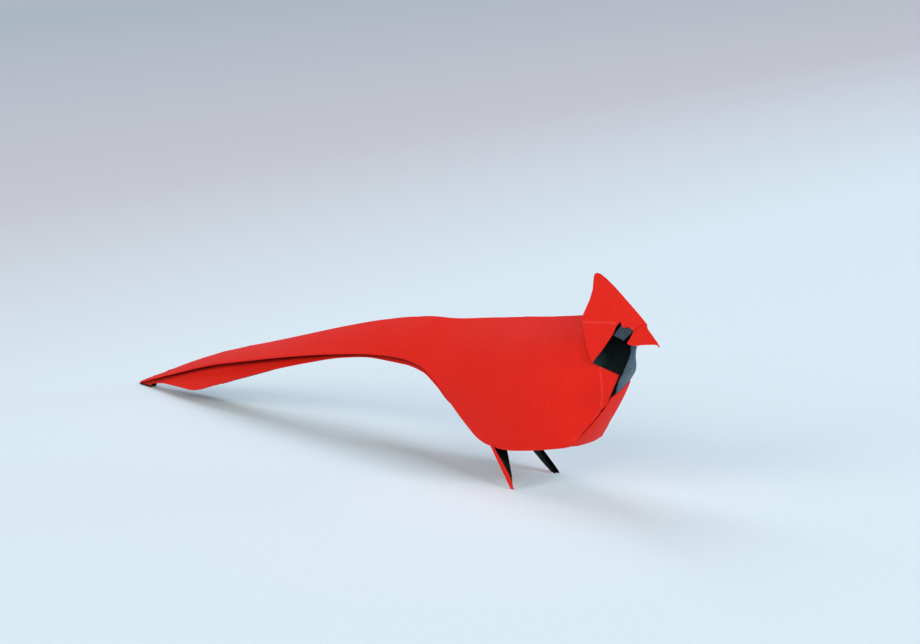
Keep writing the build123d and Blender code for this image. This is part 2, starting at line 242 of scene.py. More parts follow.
# Legs, level by level from root to sole: height, crease, flange edge and inner edge as (x, y)
NEAR_LEG = ((14.4, (43.4, 9.00), (44.5, 9.00), (45.2, 4.8)),
            (9.7, (46.4, 9.25), (47.5, 9.25), (48.1, 5.6)),
            (5.3, (49.3, 9.20), (51.0, 9.20), (51.0, 7.3)),
            (2.8, (50.95, 9.15), (52.75, 9.15), (52.6, 8.4)),
            (1.4, (51.9, 9.15), (53.3, 9.15), (52.9, 8.6)),
            (0.0, (52.85, 9.15), (53.75, 9.15), (53.4, 8.8)))
FAR_LEG = ((14.4, (36.6, 9.00), (37.9, 9.00), (36.6, 4.8)),
           (5.0, (46.8, 9.15), (47.9, 9.15), (46.8, 6.5)),
           (0.8, (51.35, 9.15), (52.5, 9.15), (51.35, 7.4)),
           (0.25, (51.95, 9.15), (53.0, 9.15), (51.95, 7.65)),
           (0.0, (52.3, 9.10), (53.1, 9.10), (52.3, 8.1)))
LEG_LEVELS = 25
LEG_FACE_POINTS = 8
LEG_FLANGE_POINTS = 4
LEG_PLY_SHARE = 0.4

# Filled panels keep their inner points this many spacings from rims and creases, and join points that are
# nearer to each other than the second length
FILL_CLEARANCE = 0.5
FILL_MERGE = 1e-5

# The most by which a ply's inner side is moved at a fold, in plies, and the least angle of a sharp fold
PLY_REACH_LIMIT = 1.6
SHARP_ANGLE = math.radians(32)

# Unevenness of the sheet: height in metres where it starts and over which it grows, wide and near waves
# for each metre, the shift and the share of the near ones
STRAY_START = 0.003
STRAY_RUN = 0.012
STRAY_WIDE = 24.0
STRAY_NEAR = 55.0
STRAY_SHIFT = (3.1, 0.0, 7.7)
STRAY_NEAR_SHARE = 0.5


def length_of(name, description, default, least, most):
    # A length in metres that a user can change
    return FloatProperty(name=name, description=description, default=default, min=least, max=most,
                         subtype="DISTANCE", unit="LENGTH", precision=5)


def colour_of(name, description, default):
    # A colour that a user can change
    return FloatVectorProperty(name=name, description=description, default=default, min=0.0, max=1.0,
                               subtype="COLOR", size=3)


class PaperBirdSizes(bpy.types.PropertyGroup):
    paper_thickness: length_of("Paper Thickness", "Thickness of the sheet as drawn", 0.00026, 0.0001, 0.0004)
    fold_radius: length_of("Fold Radius", "Radius of the rounded hems", 0.00031, 0.0002, 0.0006)
    mesh_spacing: length_of(
        "Mesh Spacing", "Distance between points of the flat panels", 0.00055, 0.0003, 0.002)
    unevenness: length_of(
        "Unevenness", "How far the sheet strays sideways from its drawn shape", 0.00012, 0.0, 0.0004)


class PaperBirdColours(bpy.types.PropertyGroup):
    red: colour_of("Red Side", "Main colour of the red side", (0.775, 0.012, 0.0035))
    red_deep: colour_of("Deep Red", "Darker pulp of the red side", (0.710, 0.008, 0.0025))
    red_light: colour_of("Light Red", "Lighter fibres of the red side", (0.840, 0.024, 0.0100))
    # Rubbed creases lighter, with a painted highlight on them and on the rounded hems
    red_worn_and_highlight: colour_of("Worn Red", "Red along rubbed folds", (0.920, 0.120, 0.095))
    # Painted shade: the red darkened deep inside the pleats
    red_painted_shade: colour_of("Inside Red", "Unfaded red deep inside the pleats", (0.090, 0.0008, 0.0004))
    black: colour_of("Black Side", "Main colour of the black side", (0.0016, 0.0023, 0.0020))
    black_fibre: colour_of("Black Fibres", "Lighter fibres of the black side", (0.0080, 0.0110, 0.0110))
    # Painted reflection: the mask's lower corner lightened to a green grey
    mask_painted_reflection: colour_of(
        "Faded Mask", "Black side at the mask's lower corner, faded to a green grey",
        (0.0220, 0.0450, 0.0480))
    # Painted shade: the mask's blackest part, below the eye flap
    mask_painted_shade: colour_of(
        "Deep Mask", "Blackest part of the mask, below the eye flap", (0.0006, 0.0011, 0.0008))
    # Painted sheen: the eye flaps' black side lightened to a dark blue grey
    black_painted_sheen: colour_of(
        "Faded Black", "Black side of the eye flaps, faded to a dark blue grey", (0.0240, 0.0470, 0.0690))
    # Painted reflection: the throat's black side lightened to a blue grey, also the lightest tint of the eye
    # flaps' painted sheen
    black_painted_reflection: colour_of(
        "Rubbed Black", "Black side of the throat, rubbed to a blue grey", (0.0460, 0.0790, 0.1000))
    # Painted glint: the lightest fibres of the throat's painted reflection
    black_painted_glint: colour_of("Rubbed Fibres", "Lightest fibres of the rubbed throat", (0.1100, 0.1700, 0.2150))
    floor: colour_of("Floor", "Colour of the plain paper floor", (0.925, 0.920, 0.925))
    # Painted shade: the floor greyed behind the tail
    floor_painted_shade: colour_of("Floor Back", "Greyer colour of the floor behind the tail", (0.760, 0.650, 0.660))
    # Painted shade: the floor greyed far from the bird
    floor_far_painted_shade: colour_of("Floor Far", "Grey of the floor far from the bird", (0.580, 0.560, 0.594))


def sizes():
    return bpy.context.scene.paper_bird_sizes


def colours():
    return bpy.context.scene.paper_bird_colours


def run_through(places, values, at):
    # A smooth run through the given values that never swings past them
    steps = np.diff(places)
    rises = np.diff(values) / steps
    slopes = np.empty(len(places))
    slopes[0], slopes[-1] = rises[0], rises[-1]
    for i in range(1, len(places) - 1):
        before, after = rises[i - 1], rises[i]
        if before * after <= 0:
            slopes[i] = 0.0
        else:
            first = 2 * steps[i] + steps[i - 1]
            second = steps[i] + 2 * steps[i - 1]
            slopes[i] = (first + second) / (first / before + second / after)
    left = np.clip(np.searchsorted(places, at) - 1, 0, len(steps) - 1)
    step = steps[left]
    t = (at - np.asarray(places)[left]) / step
    value, following = np.asarray(values)[left], np.asarray(values)[left + 1]
    return (value * (1 + 2 * t) * (1 - t) ** 2 + slopes[left] * step * t * (1 - t) ** 2
            + following * t * t * (3 - 2 * t) + slopes[left + 1] * step * t * t * (t - 1))


def value_at(table, by, column, place):
    # The smooth run of one column of a table over another, at one place
    return float(run_through(table[:, by], table[:, column], np.array([place]))[0])


def held(value, low=0.0, high=1.0):
    return min(max(value, low), high)


def curve_through(points, count, trim):
    # A natural spline through a few points of a section, cut short by the trim, as evenly spread points
    points = np.asarray(points, float)
    chords = np.linalg.norm(np.diff(points, axis=0), axis=1)
    places = np.concatenate([[0.0], np.cumsum(chords)])
    size = len(points)
    matrix = np.eye(size)
    sums = np.zeros_like(points)
    for i in range(1, size - 1):
        matrix[i, i - 1:i + 2] = chords[i - 1], 2 * (chords[i - 1] + chords[i]), chords[i]
        sums[i] = 6 * ((points[i + 1] - points[i]) / chords[i] - (points[i] - points[i - 1]) / chords[i - 1])
    bends = np.linalg.solve(matrix, sums)
    at = np.linspace(0, places[-1] - trim, count)
    left = np.clip(np.searchsorted(places, at) - 1, 0, size - 2)
    step = chords[left][:, None]
    a = (places[left + 1] - at)[:, None] / step
    b = 1 - a
    return (a * points[left] + b * points[left + 1]
            + ((a ** 3 - a) * bends[left] + (b ** 3 - b) * bends[left + 1]) * step ** 2 / 6)


def line_between(start, end, count):
    shares = np.linspace(0, 1, count)[:, None]
    return np.asarray(start) * (1 - shares) + np.asarray(end) * shares


def half_turn(start, run, inward, radius, count):
    # A rounded fold: from start round to the other side, turning towards inward
    angles = np.linspace(0, math.pi, count)[:, None]
    return start + inward * radius * (1 - np.cos(angles)) + run * radius * np.sin(angles)


def thicken(mesh, plies, front, back, rim_side, own_half=False):
    # Turns an open sheet, whose faces point to its front, into a closed one of the given thickness. With
    # own_half, no point of its inner side crosses the middle plane.
    mesh.normal_update()
    verts = list(mesh.verts)
    faces = list(mesh.faces)
    rim = [edge.link_loops[0] for edge in mesh.edges if edge.is_boundary]
    rim_pairs = [(loop.vert, loop.link_loop_next.vert) for loop in rim]
    under = {}
    for vert in verts:
        reach = min(vert.calc_shell_factor(), PLY_REACH_LIMIT)
        inner = vert.co - vert.normal * plies(vert.co) * reach
        if own_half and inner.y * vert.co.y < 0:
            inner.y = 0.0
        under[vert] = mesh.verts.new(inner)
    for face in faces:
        face.material_index = front
        below = mesh.faces.new([under[vert] for vert in reversed(face.verts)])
        below.material_index = back
    for first, second in rim_pairs:
        side = mesh.faces.new([second, first, under[first], under[second]])
        side.material_index = rim_side
    mesh.normal_update()


def stray(co):
    # The slow sideways wander of hand-folded paper, none near the ground
    grip = held((co.z - STRAY_START) / STRAY_RUN)
    near = noise.noise(co * STRAY_NEAR + Vector(STRAY_SHIFT))
    wide = noise.noise(co * STRAY_WIDE)
    return (wide + STRAY_NEAR_SHARE * near) * grip


def make_piece(name, mesh):
    # An object from a mesh in millimetres, made a little uneven and kept inside the box of the solid
    amount = sizes().unevenness
    for vert in mesh.verts:
        vert.co *= MM
        vert.co.y += stray(vert.co) * amount
        vert.co = [held(c, low, high) for c, low, high in zip(vert.co, *cad_box)]
    data = bpy.data.meshes.new(name)
    mesh.to_mesh(data)
    mesh.free()
    piece = bpy.data.objects.new(name, data)
    bpy.context.scene.collection.objects.link(piece)
    for paper in (red_paper, black_paper, cut_paper, reflection_painted_black_paper, sheen_painted_black_paper, mask_painted_light_paper):
        data.materials.append(paper())


def grid_mesh(rows):
    # A sheet through rows of points, all rows the same length
    mesh = bmesh.new()
    verts = [[mesh.verts.new(point) for point in row] for row in rows]
    join_rows(mesh, verts)
    mesh.normal_update()
    return mesh


def join_rows(mesh, verts):
    for row, following in zip(verts, verts[1:]):
        for j in range(len(row) - 1):
            mesh.faces.new([row[j], following[j], following[j + 1], row[j + 1]])


def face_towards(mesh, way):
    # Turns all faces of an open sheet so that on the whole they look the given way
    total = sum((face.normal * face.calc_area() for face in mesh.faces), Vector())
    if total.dot(Vector(way)) < 0:
        bmesh.ops.reverse_faces(mesh, faces=mesh.faces)
    mesh.normal_update()


def inside_outline(x, y, outline):
    inside = False
    for (x0, y0), (x1, y1) in zip(outline, outline[1:] + outline[:1]):
        if (y0 > y) != (y1 > y) and x < (x1 - x0) * (y - y0) / (y1 - y0) + x0:
            inside = not inside
    return inside


def stepped(points, spacing, closed):
    # The same line with extra points, no further apart than the spacing
    ends = points[1:] + points[:1] if closed else points[1:]
    result = []
    for start, end in zip(points, ends):
        count = max(1, math.ceil(math.dist(start, end) / spacing))
        result += [tuple(p) for p in line_between(start, end, count + 1)[:-1]]
    if not closed:
        result.append(points[-1])
    return result


def distance_to_line(point, line):
    best = math.inf
    for start, end in zip(line, line[1:]):
        run = (end[0] - start[0], end[1] - start[1])
        along = (point[0] - start[0]) * run[0] + (point[1] - start[1]) * run[1]
        share = held(along / (run[0] ** 2 + run[1] ** 2))
        best = min(best, math.dist(point, (start[0] + share * run[0], start[1] + share * run[1])))
    return best


def filled_outline(outline, creases=()):
    # Fills a flat outline with evenly spread triangles, with points along its creases
    spacing = sizes().mesh_spacing / MM
    rim = stepped([tuple(p) for p in outline], spacing, True)
    points = list(rim)
    edges = []
    lines = [rim + rim[:1]]
    for crease in creases:
        line = stepped([tuple(p) for p in crease], spacing, False)
        line = [p for p in line if inside_outline(*p, rim)]
        edges += [(len(points) + i, len(points) + i + 1) for i in range(len(line) - 1)]
        points += line
        lines.append(line)
    low_x, low_y = min(p[0] for p in rim), min(p[1] for p in rim)
    high_x, high_y = max(p[0] for p in rim), max(p[1] for p in rim)
    row_step = spacing * math.sqrt(3) / 2
    for row in range(int((high_y - low_y) / row_step) + 1):
        for column in range(int((high_x - low_x) / spacing) + 1):
            point = (low_x + (column + 0.5 * (row % 2)) * spacing, low_y + row * row_step)
            if inside_outline(*point, rim) and all(
                    distance_to_line(point, line) >= FILL_CLEARANCE * spacing for line in lines):
                points.append(point)
    flat, _, faces, *_ = delaunay_2d_cdt(
        [Vector(p) for p in points], edges, [list(range(len(rim)))], 1, FILL_MERGE)
    return flat, faces


def panel_frame(first, second, third):
    # The plane of a flat panel on the near side, with its front facing away from the bird
    first, second, third = Vector(first), Vector(second), Vector(third)
    along = (second - first).normalized()
    front = along.cross(third - first).normalized()
    if front.y > 0:
        front.negate()
    return first, along, front.cross(along), front


def panel_mesh(outline, plane_points):
    # A flat panel on the near side, filled and laid in its plane
    origin, along, up, front = panel_frame(*plane_points)
    offsets = [Vector(point) - origin for point in outline]
    flat, faces = filled_outline([(offset.dot(along), offset.dot(up)) for offset in offsets])
    mesh = bmesh.new()
    verts = [mesh.verts.new(origin + along * u + up * v) for u, v in flat]
    for face in faces:
        mesh.faces.new([verts[i] for i in face])
    mesh.normal_update()
    face_towards(mesh, front)
    return mesh


def mirrored(mesh):
    # The same closed panel on the far side
    copy = mesh.copy()
    for vert in copy.verts:
        vert.co.y = -vert.co.y
    bmesh.ops.reverse_faces(copy, faces=copy.faces)
    copy.normal_update()
    return copy


def both_sides(name, mesh):
    far = mirrored(mesh)
    make_piece(name + "_near", mesh)
    make_piece(name + "_far", far)


def even_ply(_place):
    return sizes().paper_thickness / MM


def station_runs(steps):
    # The stations' columns, filled in to many sections along the bird
    table = np.array(STATIONS)
    middle = np.stack([table[:, 0] + table[:, 2], table[:, 1] + table[:, 4]], axis=1) / 2
    places = np.concatenate([[0.0], np.cumsum(np.linalg.norm(np.diff(middle, axis=0), axis=1))])
    fine = [line_between([start], [end], steps)[:-1, 0] for start, end in zip(places, places[1:])]
    fine = np.concatenate([*fine, places[-1:]])
    columns = [run_through(places, table[:, i], fine) for i in range(table.shape[1])]
    for column, passes in SOFTENING:
        for _ in range(passes):
            inner = columns[column]
            inner[1:-1] = inner[1:-1] + SOFTENING_SHARE * (inner[2:] - 2 * inner[1:-1] + inner[:-2])
    return np.stack(columns, axis=1)


def half_section(row):
    # One side of a section, from the ridge over the hem and the inner fold to the lower edge, and how
    # much painted shade each of its points gets, from nought to one, deepest in the pleat
    ridge_x, ridge_z, hem_x, hem_y, hem_z, shoulder, flank, fold_width, edge_y, edge_z, share = row
    radius = sizes().fold_radius / MM * share
    down = np.array([hem_x - ridge_x, hem_z - ridge_z])
    depth = np.linalg.norm(down)
    outer = curve_through([(0, 0), (hem_y * shoulder, depth * SHOULDER_DEPTH),
                           (hem_y * flank, depth * FLANK_DEPTH), (hem_y, depth)], SIDE_POINTS, radius)
    hem = outer[-1]
    run = hem - outer[-2]
    run /= np.linalg.norm(run)
    inward = np.array([-run[1], run[0]])
    gap = np.interp(hem_x, *zip(*INNER_FOLD_GAP))
    fold = hem - run * (np.linalg.norm(hem) * fold_width) + inward * gap
    hem_arc = half_turn(hem, run, inward, radius, HEM_POINTS)
    fold_arc = half_turn(fold, -run, inward, radius * INNER_FOLD_SHARE, FOLD_POINTS)
    edge_depth = depth * (ridge_z - edge_z) / (ridge_z - hem_z)
    inner = line_between(hem_arc[-1], fold_arc[0], INNER_POINTS)[1:-1]
    lower = line_between(fold_arc[-1], (edge_y, edge_depth), LOWER_POINTS)[1:]
    section = np.concatenate([outer[:-1], hem_arc, inner, fold_arc, lower])
    shades = np.ones(len(section))
    shades[:len(outer) + len(hem_arc) // 2] = 0.0
    shades[-len(lower):] = 1 - np.clip((lower[:, 1] - depth) / PLEAT_SHADE_DEPTH, 0, 1)
    return laid_in_space(section, ridge_x, ridge_z, down / depth), list(shades)


def laid_in_space(section, ridge_x, ridge_z, way):
    # A section's points in space, drawn in and bent to the crease at the neck
    crease = np.array(sorted(NECK_CREASE))
    bent = held((ridge_x - NECK_BEND_START) / (NECK_BEND_END - NECK_BEND_START))
    bent = bent * bent * (3 - 2 * bent)
    points = []
    for side, deep in section:
        x, z = ridge_x + way[0] * deep, ridge_z + way[1] * deep
        side *= 1 - NECK_TUCK_SHARE * bent * held((z - NECK_TUCK_START) / NECK_TUCK_RUN)
        x += (value_at(crease, 0, 1, z) - neck_plane_x(z)) * bent
        points.append((x, side, z))
    return points


def neck_plane_x(z):
    # Place of the last section's flat plane at a height
    last = STATIONS[-1]
    return last[0] + (last[1] - z) / (last[1] - last[4]) * (last[2] - last[0])


def strip_row(vert, side, mesh):
    # One row of the neck strip, from a point of the neck's crease to the strip's free edge
    edge = np.array(STRIP_EDGE)
    share = (vert.co.z - STRIP_FOOT) / (STRIP_TOP - STRIP_FOOT)
    x, half_width, z = (float(np.interp(share, edge[:, 0], edge[:, c])) for c in (1, 2, 3))
    points = line_between(tuple(vert.co), (x, half_width * side, z), STRIP_POINTS)[1:]
    return [vert] + [mesh.verts.new(point) for point in points]


class PAPERBIRD_OT_fold_back(bpy.types.Operator):
    """Makes the back, the sides and the tail with their pleated hems"""
    bl_idname = "paperbird.fold_back"
    bl_label = "Fold Back and Tail"

    def execute(self, context):
        mesh = bmesh.new()
        # Each point's share of the painted shade deep in the pleat
        painted_shade_share = mesh.verts.layers.float.new("painted_shade_share")
        verts = []
        shares = []
        for row in station_runs(STATION_STEPS):
            half, shades = half_section(row)
            near = [(x, -y, z) for x, y, z in reversed(half)]
            line = [mesh.verts.new(point) for point in [*near, *half[1:]]]
            for vert, shade in zip(line, [*reversed(shades), *shades[1:]]):
                vert[painted_shade_share] = shade
            verts.append(line)
            shares.append((row[0], row[-1]))
        join_rows(mesh, verts)
        ridge = len(half) - 1
        for side in (-1, 1):
            crease = [verts[-1][ridge + side * k] for k in range(SIDE_POINTS)]
            crease = [vert for vert in crease if vert.co.z < STRIP_TOP]
            strip = [strip_row(vert, side, mesh) for vert in crease]
            join_rows(mesh, strip if side < 0 else strip[::-1])
        mesh.normal_update()
        top = [face for face in mesh.faces if face.calc_center_median().z > TOP_HEIGHT]
        if sum(face.normal.z for face in top) < 0:
            bmesh.ops.reverse_faces(mesh, faces=mesh.faces)
        places, plies = np.array(shares).T
        thicken(mesh, lambda co: even_ply(co) * float(np.interp(co.x, places, plies)),
                RED_SIDE, BLACK_SIDE, CUT_EDGE)
        for face in mesh.faces:
            centre = face.calc_center_median()
            in_neck = face.material_index == CUT_EDGE and centre.x > NECK_BEND_START
            underside = TIP_UNDERSIDE_HEIGHT + TIP_UNDERSIDE_RISE * (centre.x - STATIONS[0][0])
            if in_neck or (centre.x < TIP_UNDERSIDE_END and centre.z < underside):
                face.material_index = BLACK_SIDE
        make_piece("back", mesh)
        return {"FINISHED"}


def breast_mesh():
    # The breast band, from its foot to its slanted top
    table = np.array(BREAST_ROWS)
    rows = []
    for level in range(BREAST_LEVELS):
        row = []
        for share in np.linspace(-1, 1, BREAST_COLUMNS):
            slant = (share + 1) / 2
            top = BREAST_TOP_NEAR * (1 - slant) + BREAST_TOP_FAR * slant
            rise = BREAST_FAR_RISE if share > 0 else BREAST_NEAR_RISE
            foot = table[0, 2] + rise * abs(share) ** BREAST_RISE_POWER
            height = foot + (top - foot) * level / (BREAST_LEVELS - 1)
            front, width, bulge = (value_at(table, 2, column, height) for column in (0, 1, 3))
            width *= 1.0 if share > 0 else BREAST_NEAR_SHARE
            row.append((front + bulge * (1 - share * share), width * share, height))
        rows.append(row)
    return grid_mesh(rows)


def throat_mesh():
    # The throat strip, a little curved across, its near side narrower towards its foot
    table = np.array(THROAT_ROWS)
    rows = []
    for height in np.linspace(table[0, 2], table[-1, 2], THROAT_LEVELS):
        front, far_width = (value_at(table, 2, column, height) for column in (0, 1))
        trim = THROAT_NEAR_TRIM * max(THROAT_TRIM_START - height, 0.0)
        near_width = far_width * max(1 - trim, THROAT_LEAST_SHARE)
        row = []
        for share in np.linspace(-1, 1, THROAT_COLUMNS):
            width = near_width if share < 0 else far_width
            row.append((front - THROAT_CURVE * share * share, width * share, height))
        rows.append(row)
    return grid_mesh(rows)


class PAPERBIRD_OT_fold_breast(bpy.types.Operator):
    """Makes the breast band and the throat strip that close the front of the body"""
    bl_idname = "paperbird.fold_breast"
    bl_label = "Fold Breast and Throat"

    def execute(self, context):
        mesh = breast_mesh()
        face_towards(mesh, (1, 0, 0))
        thicken(mesh, even_ply, RED_SIDE, BLACK_SIDE, CUT_EDGE)
        make_piece("breast", mesh)
        mesh = throat_mesh()
        face_towards(mesh, (1, 0, 0))
        # The throat's front and rim carry a painted reflection on the black side
        thicken(mesh, even_ply, REFLECTION_PAINTED_BLACK, BLACK_SIDE, REFLECTION_PAINTED_BLACK)
        make_piece("throat", mesh)
        return {"FINISHED"}


def head_side(x, z):
    # Half width of the head's roof at a point of its side view
    crest, brow = Vector(HEAD_RIM[0]), Vector(HEAD_RIDGE[0])
    along = (brow - crest).normalized()
    away = Vector((along.y, -along.x))
    at = Vector((x, z)) - crest
    place = held(at.dot(along) / (brow - crest).length)
    swell = HEAD_SWELL * 4 * place * (1 - place) * (1 + HEAD_SWELL_LEAN * (0.5 - place))
    return HEAD_SPREAD * max(at.dot(away) + swell, 0.0)


def beak_side(x, z):
    # Half width of the beak's roof at a point of its side view
    return BEAK_SPREAD * distance_to_line((x, z), BEAK_RIDGE)


def roof_mesh(ridge, rim, creases, side_at):
    # Two mirrored panels that meet along a ridge in the middle plane, drawn in side view
    flat, faces = filled_outline(ridge + rim, creases)
    mesh = bmesh.new()
    near, far = [], []
    for x, z in flat:
        on_ridge = distance_to_line((x, z), ridge) < ON_RIDGE
        side = 0.0 if on_ridge else max(side_at(x, z), ROOF_LEAST_SIDE)
        near.append(mesh.verts.new((x, -side, z)))
        far.append(near[-1] if on_ridge else mesh.verts.new((x, side, z)))
    for face in faces:
        if any(near[i] is not far[i] for i in face):
            mesh.faces.new([near[i] for i in face])
            mesh.faces.new([far[i] for i in reversed(face)])
    mesh.normal_update()
    if sum(face.normal.y for face in mesh.faces if face.calc_center_median().y < 0) > 0:
        bmesh.ops.reverse_faces(mesh, faces=mesh.faces)
    return mesh


def paint_mask_light(mesh):
    # Paints the mask's light: painted shade keeps it deepest black, and a painted reflection lightens its
    # lower corner and lower edge
    painted_shade_share = mesh.verts.layers.float.new("painted_shade_share")
    for vert in mesh.verts:
        reflection_share = 1 - (vert.co - Vector(MASK[0])).length / MASK_REFLECTION_REACH
        low = held((MASK_LOW_END - vert.co.z) / MASK_LOW_RUN)
        vert[painted_shade_share] = 1 - max(reflection_share, MASK_LOW_REFLECTION_SHARE * low)


class PAPERBIRD_OT_fold_head(bpy.types.Operator):
    """Makes the crest and cheeks, the beak, the eye flaps and the black mask"""
    bl_idname = "paperbird.fold_head"
    bl_label = "Fold Head"

    def execute(self, context):
        mesh = roof_mesh(HEAD_RIDGE, HEAD_RIM, [CHEEK_CREASE], head_side)
        thicken(mesh, even_ply, RED_SIDE, BLACK_SIDE, CUT_EDGE, True)
        make_piece("head", mesh)
        mesh = roof_mesh(BEAK_RIDGE, BEAK_RIM, [], beak_side)
        thicken(mesh, even_ply, RED_SIDE, BLACK_SIDE, CUT_EDGE, True)
        make_piece("beak", mesh)
        mesh = panel_mesh(EYE_FLAP, EYE_FLAP[:3])
        # The eye flaps' black side and rim carry a painted sheen
        thicken(mesh, even_ply, SHEEN_PAINTED_BLACK, BLACK_SIDE, SHEEN_PAINTED_BLACK)
        both_sides("eye_flap", mesh)
        mesh = panel_mesh([MASK[i] for i in MASK_ORDER], MASK[:3])
        # The mask's painted reflection and painted shade, as each point's share of painted shade
        paint_mask_light(mesh)
        thicken(mesh, even_ply, MASK_PAINTED_LIGHT, BLACK_SIDE, BLACK_SIDE)
        both_sides("mask", mesh)
        return {"FINISHED"}


def leg_mesh(levels, side):
    # A leg's wide face across the bird, folded along its outer edge into a narrow flange
    table = np.array([[z, *crease, *flange, *inner] for z, crease, flange, inner in levels])[::-1]
    rows = []
    for height in np.linspace(table[0, 0], table[-1, 0], LEG_LEVELS):
        crease_x, crease_y, flange_x, flange_y, inner_x, inner_y = (
            value_at(table, 0, column, height) for column in range(1, table.shape[1]))
        face = line_between((inner_x, inner_y), (crease_x, crease_y), LEG_FACE_POINTS)
        flange = line_between((crease_x, crease_y), (flange_x, flange_y), LEG_FLANGE_POINTS)[1:]
        rows.append([(p[0], p[1] * side, height) for p in [*face, *flange]])
    return grid_mesh(rows)


class PAPERBIRD_OT_fold_legs(bpy.types.Operator):
    """Makes the two narrow legs"""
    bl_idname = "paperbird.fold_legs"
    bl_label = "Fold Legs"

    def execute(self, context):
        for name, levels, side in (("near_leg", NEAR_LEG, -1), ("far_leg", FAR_LEG, 1)):
            mesh = leg_mesh(levels, side)
            face_towards(mesh, (-1, 0, 0))
            thicken(mesh, lambda co: even_ply(co) * LEG_PLY_SHARE, RED_SIDE, BLACK_SIDE, BLACK_SIDE)
            make_piece(name, mesh)
        return {"FINISHED"}


SHEET_PARTS = ("back", "breast", "throat", "head", "eye_flap_near", "eye_flap_far", "mask_near", "mask_far",
               "beak", "near_leg", "far_leg")

# Crease of the neck, rubbed lighter and with a painted highlight on both sides: place, half width and height
NECK_FOLD = ((76.0, 4.5, 34.5), (76.3, 4.45, 33.4), (76.44, 4.55, 31.0), (76.5, 4.0, 26.8),
             (75.35, 3.2, 22.9))

# The hem carries a painted highlight in front of this place, along a line with this many points from each
# station to the next, both stations counted
HEM_HIGHLIGHT_START = 8.0
HEM_STEPS = 2


def distances_to_fold(points, fold):
    # Distance of each point to a run of points
    best = np.full(len(points), np.inf)
    fold = np.asarray(fold)
    for start, end in zip(fold, fold[1:]):
        run = end - start
        shares = np.clip((points - start) @ run / (run @ run), 0, 1)
        best = np.minimum(best, np.linalg.norm(points - start - shares[:, None] * run, axis=1))
    return best


def measure_wear_and_highlight(data):
    # Writes how far each point lies from the rubbed creases and the hems, both with a painted highlight, in
    # millimetres, the same on both sides
    points = np.array([vert.co[:] for vert in data.vertices]) / MM
    points[:, 1] = abs(points[:, 1])
    cheek_fold = [(x, head_side(x, z), z) for x, z in CHEEK_CREASE]
    hem = [row[2:5] for row in station_runs(HEM_STEPS) if row[0] > HEM_HIGHLIGHT_START]
    creases = np.minimum(distances_to_fold(points, NECK_FOLD), distances_to_fold(points, cheek_fold))
    for name, distances in (("crease_distance", creases), ("hem_highlight_distance", distances_to_fold(points, hem))):
        data.attributes.new(name, "FLOAT", "POINT").data.foreach_set("value", distances)


class PAPERBIRD_OT_join_sheet(bpy.types.Operator):
    """Joins the folded parts into one sheet and puts it in the place of the plain one"""
    bl_idname = "paperbird.join_sheet"
    bl_label = "Join Sheet"

    def execute(self, context):
        parts = [bpy.data.objects[name] for name in SHEET_PARTS]
        sheet = parts[0]
        sheet.name = "paper_bird"
        sheet.data.name = "paper_bird"
        with context.temp_override(active_object=sheet, selected_editable_objects=parts, object=sheet):
            bpy.ops.object.join()
        data = sheet.data
        data.shade_smooth()
        data.set_sharp_from_angle(angle=SHARP_ANGLE)
        measure_wear_and_highlight(data)
        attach(sheet, "root")
        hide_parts("folded_sheet")
        return {"FINISHED"}


# Grain of the paper: noise features for each metre, detail and roughness
CLOUDS = (70.0, 2.0, 0.6)
PULP = (1500.0, 4.0, 0.65)
FIBRES = (1100.0, 3.0, 0.55)
TOOTH = (4200.0, 2.0, 0.6)
FIBRE_STRETCH = (1.0, 5.0, 2.0)
FIBRE_TURN = (0.5, 0.35, 0.8)

# Places of the paper's colours over its grain, and the shares of clouds and fibres in the mix
PULP_STOPS = (0.28, 0.52, 0.80)
CLOUD_STOPS = (0.25, 0.5, 0.80)
CLOUD_SHARE = 0.3
FIBRE_RANGE = (0.58, 0.74)
FIBRE_SHARE = 0.30
# Places over the pulp of the rubbed creases and painted highlights
WORN_AND_HIGHLIGHT_STOPS = (0.2, 0.6)
# Places over the pulp of the painted shade in the pleats
PAINTED_SHADE_STOPS = (0.55, 1.0)
WHOLE_RANGE = (0.0, 1.0)

# How far the roughness strays with the pulp, and strength and height in metres of fibres and tooth
ROUGHNESS_PULP = (0.3, 0.7)
ROUGHNESS_BELOW = 0.05
ROUGHNESS_ABOVE = 0.06
FIBRE_RELIEF = (0.18, 0.00003)
TOOTH_RELIEF = (0.16, 0.000025)

# Rubbed creases and hems with a painted highlight: attribute with the distance, reach in millimetres and
# strength
WEAR_AND_HIGHLIGHT = (("crease_distance", 0.40, 0.32), ("hem_highlight_distance", 0.75, 0.16))

# Floor: half width in metres, the ways and distances over which painted shade turns it grey, and its tooth
FLOOR_HALF_WIDTH = 4.0
FLOOR_SEGMENTS = 8
FLOOR_BEHIND = (-1.0, 0.0, 0.0)
FLOOR_BEHIND_RANGE = (0.08, 0.80)
FLOOR_STOPS = (0.03, 0.35, 1.0)
FLOOR_AWAY_RANGE = (1.0, 1.9)
FLOOR_ROUGHNESS = 0.9
FLOOR_SPECULAR = 0.1
FLOOR_TOOTH = (900.0, 3.0, 0.6)
FLOOR_RELIEF = (0.15, 0.0002)
FLOOR_SPECK = (0.97, 0.97, 0.97)
FLOOR_PLAIN = (1.0, 1.0, 1.0)
FLOOR_SPECK_STOPS = (0.3, 0.6)

# Pale backdrop: colour, strength as a light and strength where it is seen
BACKDROP = (0.66, 0.71, 0.78, 1.0)
BACKDROP_LIGHT = 0.06
BACKDROP_SEEN = 1.0

